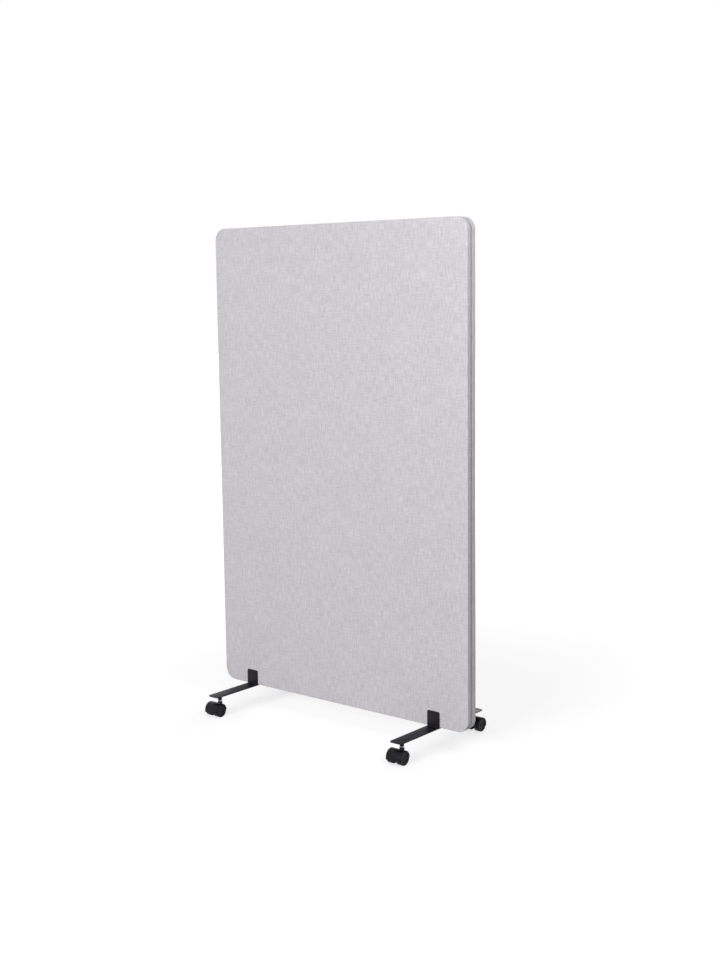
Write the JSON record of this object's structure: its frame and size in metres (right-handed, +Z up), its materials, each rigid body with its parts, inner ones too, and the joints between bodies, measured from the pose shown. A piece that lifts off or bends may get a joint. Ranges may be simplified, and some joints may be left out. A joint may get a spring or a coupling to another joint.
{
  "type": "rolling partition",
  "caption": "Upright fabric-covered acoustic panel with rounded corners and an edge seam groove, on flat-bar feet with hooded twin-wheel swivel casters.",
  "frame": {"origin": "on the floor, at the middle of the rectangle that the part covers", "axes": "+X along the panel's width, -Y out of the front face, +Z up"},
  "size_m": [1, 0.4388, 1.567],
  "materials": {
    "cover_fabric": "woven, matt, heathered grey",
    "foam": "open cell foam",
    "acoustic_felt": "pressed felt",
    "hardboard": "hardboard",
    "timber": "planed softwood",
    "dowel_wood": "beech dowel",
    "insert_brass": "turned brass",
    "powder_coat": "fine satin black powder coat",
    "zinc_steel": "bright zinc plate",
    "spring_steel": "oiled spring steel",
    "axle_steel": "ground steel",
    "hood_nylon": "moulded nylon, satin",
    "wheel_nylon": "moulded nylon, satin"
  },
  "bodies": {
    "root": {"frame_top_rail": "timber", "frame_bottom_rail": "timber", "frame_left_stile": "timber", "frame_right_stile": "timber", "frame_dowels": "dowel_wood", "acoustic_core": "acoustic_felt", "front_board": "hardboard", "rear_board": "hardboard", "front_foam": "foam", "rear_foam": "foam", "front_cover": "cover_fabric", "rear_cover": "cover_fabric", "left_foot_inserts": "insert_brass", "right_foot_inserts": "insert_brass", "left_foot_bar": "powder_coat", "right_foot_bar": "powder_coat", "left_front_upright": "powder_coat", "left_rear_upright": "powder_coat", "right_front_upright": "powder_coat", "right_rear_upright": "powder_coat", "left_foot_screws": "zinc_steel", "right_foot_screws": "zinc_steel", "left_caster_bosses": "powder_coat", "right_caster_bosses": "powder_coat", "front_left_stem": "zinc_steel", "front_left_snap_ring": "spring_steel", "front_right_stem": "zinc_steel", "front_right_snap_ring": "spring_steel", "rear_left_stem": "zinc_steel", "rear_left_snap_ring": "spring_steel", "rear_right_stem": "zinc_steel", "rear_right_snap_ring": "spring_steel"},
    "front_left_swivel": {"front_left_hood": "hood_nylon", "front_left_axle": "axle_steel"},
    "front_left_outer_wheel": {"front_left_outer_wheel": "wheel_nylon"},
    "front_left_inner_wheel": {"front_left_inner_wheel": "wheel_nylon"},
    "front_right_swivel": {"front_right_hood": "hood_nylon", "front_right_axle": "axle_steel"},
    "front_right_outer_wheel": {"front_right_outer_wheel": "wheel_nylon"},
    "front_right_inner_wheel": {"front_right_inner_wheel": "wheel_nylon"},
    "rear_left_swivel": {"rear_left_hood": "hood_nylon", "rear_left_axle": "axle_steel"},
    "rear_left_outer_wheel": {"rear_left_outer_wheel": "wheel_nylon"},
    "rear_left_inner_wheel": {"rear_left_inner_wheel": "wheel_nylon"},
    "rear_right_swivel": {"rear_right_hood": "hood_nylon", "rear_right_axle": "axle_steel"},
    "rear_right_outer_wheel": {"rear_right_outer_wheel": "wheel_nylon"},
    "rear_right_inner_wheel": {"rear_right_inner_wheel": "wheel_nylon"}
  },
  "joints": [
    {"name": "front_left_swivel", "type": "hinge", "parent": "root", "child": "front_left_swivel", "pos_m": [-0.375, -0.176, 0.05], "axis": [0, 0, 1], "continuous": true},
    {"name": "front_left_outer_wheel_spin", "type": "hinge", "parent": "front_left_swivel", "child": "front_left_outer_wheel", "pos_m": [-0.375, -0.196, 0.021], "axis": [1, 0, 0], "continuous": true},
    {"name": "front_left_inner_wheel_spin", "type": "hinge", "parent": "front_left_swivel", "child": "front_left_inner_wheel", "pos_m": [-0.375, -0.196, 0.021], "axis": [1, 0, 0], "continuous": true},
    {"name": "front_right_swivel", "type": "hinge", "parent": "root", "child": "front_right_swivel", "pos_m": [0.375, -0.176, 0.05], "axis": [0, 0, 1], "continuous": true},
    {"name": "front_right_outer_wheel_spin", "type": "hinge", "parent": "front_right_swivel", "child": "front_right_outer_wheel", "pos_m": [0.375, -0.196, 0.021], "axis": [1, 0, 0], "continuous": true},
    {"name": "front_right_inner_wheel_spin", "type": "hinge", "parent": "front_right_swivel", "child": "front_right_inner_wheel", "pos_m": [0.375, -0.196, 0.021], "axis": [1, 0, 0], "continuous": true},
    {"name": "rear_left_swivel", "type": "hinge", "parent": "root", "child": "rear_left_swivel", "pos_m": [-0.375, 0.176, 0.05], "axis": [0, 0, 1], "continuous": true},
    {"name": "rear_left_outer_wheel_spin", "type": "hinge", "parent": "rear_left_swivel", "child": "rear_left_outer_wheel", "pos_m": [-0.375, 0.196, 0.021], "axis": [1, 0, 0], "continuous": true},
    {"name": "rear_left_inner_wheel_spin", "type": "hinge", "parent": "rear_left_swivel", "child": "rear_left_inner_wheel", "pos_m": [-0.375, 0.196, 0.021], "axis": [1, 0, 0], "continuous": true},
    {"name": "rear_right_swivel", "type": "hinge", "parent": "root", "child": "rear_right_swivel", "pos_m": [0.375, 0.176, 0.05], "axis": [0, 0, 1], "continuous": true},
    {"name": "rear_right_outer_wheel_spin", "type": "hinge", "parent": "rear_right_swivel", "child": "rear_right_outer_wheel", "pos_m": [0.375, 0.196, 0.021], "axis": [1, 0, 0], "continuous": true},
    {"name": "rear_right_inner_wheel_spin", "type": "hinge", "parent": "rear_right_swivel", "child": "rear_right_inner_wheel", "pos_m": [0.375, 0.196, 0.021], "axis": [1, 0, 0], "continuous": true}
  ]
}
